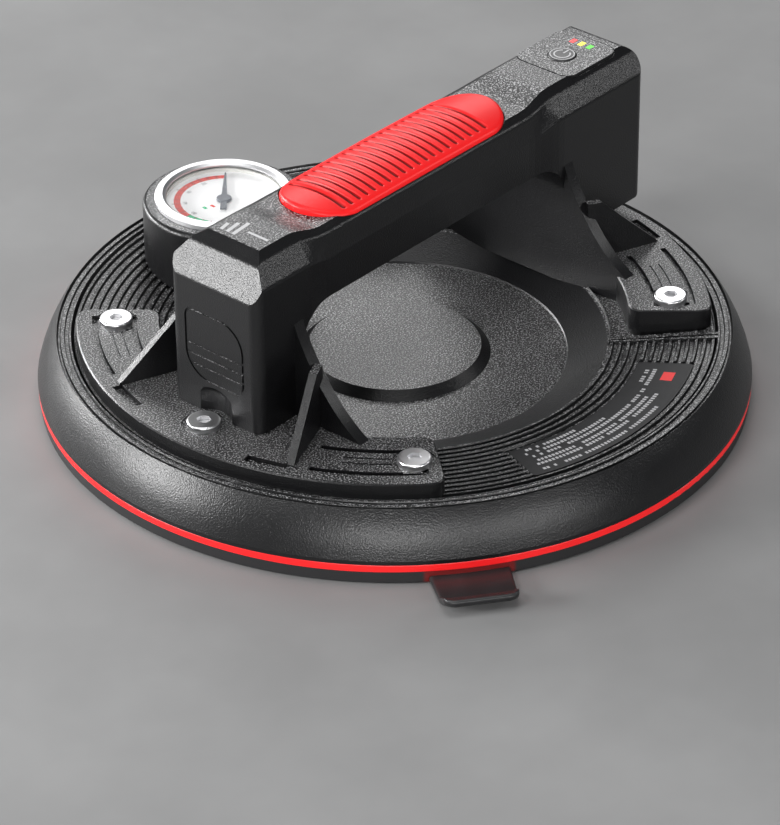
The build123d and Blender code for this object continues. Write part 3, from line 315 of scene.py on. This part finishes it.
def skin(name, patches, wrap=False):
    # quads between neighbouring rows and columns of each patch of points, given in millimetres;
    # wrap joins the last column to the first
    points, quads, used = [], [], 0
    for patch in patches:
        rows, columns = patch.shape[:2]
        index = used + np.arange(rows * columns).reshape(rows, columns)
        if wrap:
            index = np.hstack([index, index[:, :1]])
        corners = [index[:-1, :-1], index[1:, :-1], index[1:, 1:], index[:-1, 1:]]
        quads.append(np.stack(corners, -1).reshape(-1, 4))
        points.append(patch.reshape(-1, 3) * mm)
        used += rows * columns
    mesh = bpy.data.meshes.new(name)
    mesh.from_pydata(np.concatenate(points).tolist(), [], np.concatenate(quads).tolist())
    mesh.polygons.foreach_set("use_smooth", np.ones(len(mesh.polygons), bool))
    thing = bpy.data.objects.new(name, mesh)
    bpy.context.scene.collection.objects.link(thing)
    return thing


def ease(t):
    # 0 to 1 with a level start and end
    t = np.clip(t, 0, 1)
    return t * t * (3 - 2 * t)


gripShape = {"half": 13.9, "ends": 45.5, "base": 81.4, "edge": 83.0, "crown": 2.6, "bow": 0.6, "round": 1.3,
             "grooves": 20, "pitch": 3.47, "start": -35.0, "reach": 11.6, "width": 1.9, "depth": 0.95,
             "steep": 1.35, "turnSteps": 48, "alongSteps": 640, "acrossSteps": 61}


def gripSkin(g):
    # over x and y inside a round-ended outline: height = edge + crown (1 - (y / half)^2) - bow (x / ends)^2,
    # less a quarter circle within "round" of the outline, less a round trough along each groove's line
    core = g["ends"] - g["half"]
    turn = np.linspace(0, math.pi / 2, g["turnSteps"])
    middle = np.linspace(-core, core, g["alongSteps"])[1:-1]
    x = np.concatenate([-core - g["half"] * np.cos(turn), middle, core + g["half"] * np.sin(turn)])
    straight = np.full(len(middle), g["half"])
    wide = np.concatenate([g["half"] * np.sin(turn), straight, g["half"] * np.cos(turn)])
    y = wide[:, None] * np.sin(np.linspace(-1, 1, g["acrossSteps"]) * math.pi / 2)
    x = np.repeat(x[:, None], g["acrossSteps"], 1)
    inset = g["half"] - np.hypot(np.maximum(np.abs(x) - core, 0), y)
    edge = 1 - np.clip(inset / g["round"], 0, 1)
    drop = g["round"] * (1 - np.sqrt(1 - edge ** 2))
    line = g["start"] + g["pitch"] * np.clip(np.round((x - g["start"]) / g["pitch"]), 0, g["grooves"] - 1)
    off = np.hypot(x - line, np.maximum(np.abs(y) - g["reach"] + g["width"] / 2, 0)) / (g["width"] / 2)
    trough = g["depth"] * ease(g["steep"] * (1 - off))
    z = g["edge"] + g["crown"] * (1 - (y / g["half"]) ** 2) - g["bow"] * (x / g["ends"]) ** 2 - drop - trough
    top = np.stack([x, y, z], -1)
    foot = top[:, [0, -1]] * [1, 1, 0] + [0, 0, g["base"]]
    skinned = skin("gripSkin", [np.hstack([foot[:, :1], top, foot[:, 1:]])])
    # painted shade: how deep each point sits in a groove, used to darken the grooves' colour
    grooveShade = np.pad(trough / g["depth"], ((0, 0), (1, 1)))
    skinned.data.attributes.new("grooveShade", "FLOAT", "POINT").data.foreach_set("value", grooveShade.ravel())
    return skinned


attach(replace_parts(gripSkin(gripShape), "grip_insert"), "body")


def redWithGrooveShade():
    # the grip's red with painted shade in the grooves: near black where the groove attribute says that a
    # groove is deep
    paint = glossPlastic("redGripShaded", gripRed, 0.32, 0.0).set(Specular_IOR_Level=gripSheen)
    shade = paint.add("Attribute", {"attribute_name": "grooveShade"}, output=2)
    return paint.set(Base_Color=paint.mix(shade * 0.95, gripRed, tuple(c * 0.10 for c in gripRed)))


redWithGrooveShade().on("gripSkin")

tabShape = {"angle": 232.5, "root": 112.3, "tip": 130.9, "rootHalf": 12.4, "tipHalf": 11.5, "floor": 0.35,
            "thick": 2.4, "lip": 5.5, "curl": 0.66, "curlEnd": 0.97, "corner": 3.6, "tipFrom": 0.94,
            "tipSpan": 0.06, "sideFrom": 0.93, "sideSpan": 0.07, "alongSteps": 60, "acrossSteps": 45,
            "bend": (112.8, 116.5), "bendHeight": 1.5}


def tabTongue(t):
    # along: s from 0 at the root to 1 at the tip, over the top and back underneath; across: v from -1 to 1;
    # the middle height eases up by the lip's rise after "curl", the half thickness closes as a quarter circle
    # at the tip and at both sides, and the length is cut back by a circle at the corners
    s = np.linspace(0, 1, t["alongSteps"])
    v = np.sin(np.linspace(-1, 1, t["acrossSteps"]) * math.pi / 2)[:, None]
    half = t["thick"] / 2
    rise = (t["lip"] - t["floor"] - t["thick"]) * ease((s - t["curl"]) / (t["curlEnd"] - t["curl"]))
    middle = t["floor"] + half + rise
    tipShut = np.sqrt(1 - np.clip((s - t["tipFrom"]) / t["tipSpan"], 0, 1) ** 2)
    sideShut = np.sqrt(1 - np.clip((np.abs(v) - t["sideFrom"]) / t["sideSpan"], 0, 1) ** 2)
    wide = t["rootHalf"] + (t["tipHalf"] - t["rootHalf"]) * s
    past = np.clip((np.abs(v) * t["tipHalf"] - t["tipHalf"] + t["corner"]) / t["corner"], 0, 1)
    length = t["tip"] - t["root"] - t["corner"] * (1 - np.sqrt(1 - past ** 2))
    faces = []
    for sign in (1, -1):
        x = t["root"] + length * s
        y = v * wide
        z = middle + sign * half * tipShut * sideShut
        a = math.radians(t["angle"])
        face = np.stack([x * math.cos(a) - y * math.sin(a), x * math.sin(a) + y * math.cos(a), z], -1)
        faces.append(face[:, ::sign])
    return skin("tabTongue", [np.hstack(faces)], wrap=True)


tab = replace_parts(tabTongue(tabShape), "release_tab")
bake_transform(tab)
rubber("tabRubber", (0.020, 0.020, 0.021), 0.36).on("tabTongue")
print("grip and tab made")


def printInk(name, colour, *pieces, roughness=0.45):
    # flat printing ink, a little uneven
    paint = Finish(name)
    fleck = paint.grain(paint.place(), 0.5 * mm, 2)
    paint.set(Base_Color=paint.mix(fleck.between(0.5, 0.9) * 0.25, colour, tuple(c * 0.75 for c in colour)))
    paint.set(Roughness=roughness + fleck * 0.08)
    return paint.dent(fleck, 0.01 * mm, 0.3).on(*pieces)


def ringPatch(inner, outer, start, stop, height, centre=(0, 0), steps=48):
    # radius from inner to outer by angle from start to stop in degrees; height may rise from inner to outer
    angle = np.radians(np.linspace(start, stop, steps))
    radius = np.array([inner, outer], float)[:, None]
    low = np.broadcast_to(np.array(height, float).reshape(-1, 1), (2, steps))
    return np.stack([centre[0] + radius * np.cos(angle), centre[1] + radius * np.sin(angle), low], -1)


dialPrint = {"centre": (0.0, 73.0), "height": 40.12, "zero": 41.4, "band": (14.2, 16.3),
             "red": (41.4, 173.0), "green": (173.0, 203.0), "step": 11.0, "marks": 16, "bold": 3,
             "tickHalf": 0.6, "tickIn": 0.2, "tickOut": 0.1, "boldOut": 0.8, "tickLift": 0.02,
             "numbers": ("0", "20", "40", "60", "80"), "numberRadius": 12.6, "numberSize": 1.9,
             "redLegend": (4.8, 5.9, 170, 189), "greenLegend": (7.4, 8.5, 166, 178)}


def dialMarks(d):
    # arcs and radial ticks: each is a patch between two radii and two angles
    c, z = d["centre"], d["height"]
    inner, outer = d["band"]
    ticks = []
    for k in range(d["marks"]):
        angle = d["zero"] + d["step"] * k
        far = outer + (d["boldOut"] if k % d["bold"] == 0 else d["tickOut"])
        span = (angle - d["tickHalf"], angle + d["tickHalf"])
        ticks.append(ringPatch(inner - d["tickIn"], far, *span, z + d["tickLift"], c, 3))
    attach(skin("dialTicks", ticks), "body")
    red = [ringPatch(inner, outer, *d["red"], z, c, 90), ringPatch(*d["redLegend"], z, c, 12)]
    green = [ringPatch(inner, outer, *d["green"], z, c, 40), ringPatch(*d["greenLegend"], z, c, 12)]
    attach(skin("dialRed", red), "body")
    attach(skin("dialGreen", green), "body")


def dialNumbers(d):
    # plain digits laid round the scale, feet towards the hub
    for k, text in enumerate(d["numbers"]):
        angle = d["zero"] + d["step"] * d["bold"] * k
        curve = bpy.data.curves.new("digits" + text, "FONT")
        curve.body, curve.size = text, d["numberSize"] * mm
        curve.align_x = curve.align_y = "CENTER"
        draft = bpy.data.objects.new("draft", curve)
        mesh = bpy.data.meshes.new_from_object(draft)
        bpy.data.objects.remove(draft)
        a = math.radians(angle)
        x = d["centre"][0] + d["numberRadius"] * math.cos(a)
        y = d["centre"][1] + d["numberRadius"] * math.sin(a)
        spot = Vector((x, y, d["height"])) * mm
        mesh.transform(Matrix.Translation(spot) @ Matrix.Rotation(a - math.pi / 2, 4, "Z"))
        digits = bpy.data.objects.new("dialNumber" + text, mesh)
        bpy.context.scene.collection.objects.link(digits)
        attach(digits, "body")


dialMarks(dialPrint)
dialNumbers(dialPrint)
numberNames = ["dialNumber" + text for text in dialPrint["numbers"]]
printInk("inkDark", (0.22, 0.05, 0.04), "dialTicks")
printInk("inkBlack", (0.10, 0.10, 0.11), *numberNames)
printInk("inkRed", (0.78, 0.05, 0.03), "dialRed")
printInk("inkGreen", (0.02, 0.52, 0.22), "dialGreen")

buttonPrint = {"centre": (82.5, 0.0), "height": 85.03, "ring": (2.35, 2.85), "gap": 34.0, "bar": (0.6, 3.3),
               "barHalf": 0.26, "rim": (3.75, 4.1)}


def flatBar(left, right, low, high, z, lean=0.0):
    # between two x and two y, its right end shifted along y by lean
    return np.array([[[left, low, z], [right, low + lean, z]], [[left, high, z], [right, high + lean, z]]])


def powerSymbol(b):
    # a ring open towards +X, a bar in the opening, and a thin ring near the button's edge
    (x, y), z = b["centre"], b["height"]
    ring = ringPatch(*b["ring"], b["gap"], 360 - b["gap"], z, (x, y), 60)
    low, high = b["bar"]
    bar = flatBar(x + low, x + high, -b["barHalf"], b["barHalf"], z)
    rim = ringPatch(*b["rim"], 0, 360, z, (x, y), 72)
    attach(skin("powerSymbol", [ring, bar, rim]), "power_button")


powerSymbol(buttonPrint)

labelPrint = {"rows": (93.6, 90.2, 88.0, 85.2, 82.9, 80.6), "from": -110.5,
              "to": (-79.0, -74.0, -76.0, -73.5, -88.0, -95.0), "letter": 1.3, "fill": 0.74, "tall": 1.25,
              "floor": (17.6, 67.3, 3.4 / 33.0), "lift": 0.44, "badge": (88.0, 91.8, -70.0, -66.8),
              "small": ((84.9, -72.6, -65.4), (82.6, -71.5, -65.4)), "skip": 0.10, "narrow": 0.75, "seed": 5}


def onFloor(p, radii):
    # heights of the print over the floor's cone, which has a height at a radius and a slope
    base, start, slope = p["floor"]
    return [base + slope * (radius - start) + p["lift"] for radius in radii]


def labelMarks(p):
    # rows of small upright blocks that stand for lines of print, on the cone of the floor
    rows = list(zip(p["rows"], [p["from"]] * len(p["rows"]), p["to"])) + list(p["small"])
    rng = np.random.default_rng(p["seed"])
    patches = []
    for radius, begin, end in rows:
        pitch = math.degrees(p["letter"] / radius)
        for angle in np.arange(begin, end - pitch, pitch):
            if rng.random() > p["skip"]:
                wide = pitch * p["fill"] * rng.uniform(p["narrow"], 1.0)
                low, high = radius - p["tall"] / 2, radius + p["tall"] / 2
                patches.append(ringPatch(low, high, angle, angle + wide, onFloor(p, (low, high)), steps=2))
    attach(skin("labelPrintLines", patches), "body")
    badge = ringPatch(*p["badge"], onFloor(p, p["badge"][:2]), steps=12)
    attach(skin("labelBadge", [badge]), "body")


labelMarks(labelPrint)
printInk("inkGrey", (0.42, 0.42, 0.43), "labelPrintLines")
printInk("inkBadge", (0.75, 0.03, 0.03), "labelBadge")

topPrint = {"height": 84.54, "bars": ((-70.0, 6.4, 4.0), (-70.0, 4.0, 6.0), (-70.0, 1.6, 8.0)),
            "wide": 1.3, "lean": 0.8, "line": (-66.6, -8.4, 1.0, 8.0)}


def topMark(p):
    # three leaning bars of growing length and a short line beside them
    z = p["height"]
    quads = [flatBar(x, x + long, y, y + p["wide"], z, p["lean"]) for x, y, long in p["bars"]]
    x, y, wide, long = p["line"]
    quads.append(np.array([[[x, y, z], [x, y + long, z]], [[x + wide, y, z], [x + wide, y + long, z]]]))
    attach(skin("topMark", quads), "body")


topMark(topPrint)
printInk("inkSilver", (0.55, 0.55, 0.56), "topMark", "powerSymbol")
print("printing made")

cameraView = {"azimuth": -48.60, "elevation": 32.46, "roll": -0.52, "eye": (-0.8394, -0.7378, 0.6995),
              "lens": 180.3, "sensor": 36.0}
studio = {"aim": (0, 0, 0.03), "sky": (0.9, 0.93, 1.0), "skyStrength": 0.08, "floorReach": 4.0,
          "floorDark": (0.22, 0.22, 0.22), "floorPale": (0.27, 0.27, 0.27)}
softboxes = [
    # name, place, width, height, watts
    ("leftLow", (-1.25, 0.88, 0.40), 0.6, 0.34, 24),
    ("leftHigh", (-1.15, 0.10, 1.15), 0.5, 0.4, 6),
    ("frontLow", (-1.20, -1.00, 0.38), 0.9, 0.10, 11),
    ("rightLow", (-0.25, -1.50, 0.34), 0.8, 0.12, 6),
    ("sideLow", (-0.30, 1.45, 0.34), 0.9, 0.26, 26),
    ("backBox", (1.1, 1.15, 0.95), 1.1, 0.6, 8),
    ("edgeBox", (1.05, -1.0, 0.80), 0.35, 0.25, 3),
    ("topBox", (-0.1, 0.0, 1.6), 0.9, 0.9, 8),
]


def setCamera(look):
    a, e, roll = (math.radians(look[key]) for key in ("azimuth", "elevation", "roll"))
    back = Vector((math.sin(a) * math.cos(e), -math.cos(a) * math.cos(e), math.sin(e)))
    right = Vector((math.cos(a), math.sin(a), 0))
    turn = Matrix((right, back.cross(right), back)).transposed() @ Matrix.Rotation(roll, 3, "Z")
    data = bpy.data.cameras.new("camera")
    data.sensor_fit = "VERTICAL"
    data.sensor_height = look["sensor"]
    data.lens = look["lens"]
    camera = bpy.data.objects.new("camera", data)
    camera.matrix_world = Matrix.Translation(look["eye"]) @ turn.to_4x4()
    bpy.context.scene.collection.objects.link(camera)
    bpy.context.scene.camera = camera


def setLights():
    for name, place, width, height, watts in softboxes:
        data = bpy.data.lights.new(name, "AREA")
        data.shape = "RECTANGLE"
        data.size, data.size_y, data.energy = width, height, watts
        box = bpy.data.objects.new(name, data)
        box.location = place
        box.rotation_euler = (Vector(studio["aim"]) - Vector(place)).to_track_quat("-Z", "Y").to_euler()
        bpy.context.scene.collection.objects.link(box)
    world = bpy.data.worlds.new("studio")
    world.use_nodes = True
    sky = world.node_tree.nodes["Background"]
    sky.inputs["Color"].default_value = (*studio["sky"], 1)
    sky.inputs["Strength"].default_value = studio["skyStrength"]
    bpy.context.scene.world = world
    bpy.context.scene.view_settings.view_transform = "Standard"


def layFloor():
    far = studio["floorReach"]
    mesh = bpy.data.meshes.new("floor")
    mesh.from_pydata([(-far, -far, 0), (far, -far, 0), (far, far, 0), (-far, far, 0)], [], [(0, 1, 2, 3)])
    floor = bpy.data.objects.new("floor", mesh)
    bpy.context.scene.collection.objects.link(floor)
    paint = Finish("floorStone")
    cloud = paint.grain(paint.place(), 90 * mm, 4)
    paint.set(Base_Color=paint.mix(cloud.between(0.3, 0.8), studio["floorDark"], studio["floorPale"]))
    paint.set(Roughness=0.6 + cloud * 0.1)
    floor.data.materials.append(paint.material)


setCamera(cameraView)
setLights()
layFloor()
print("camera, lights and floor set")
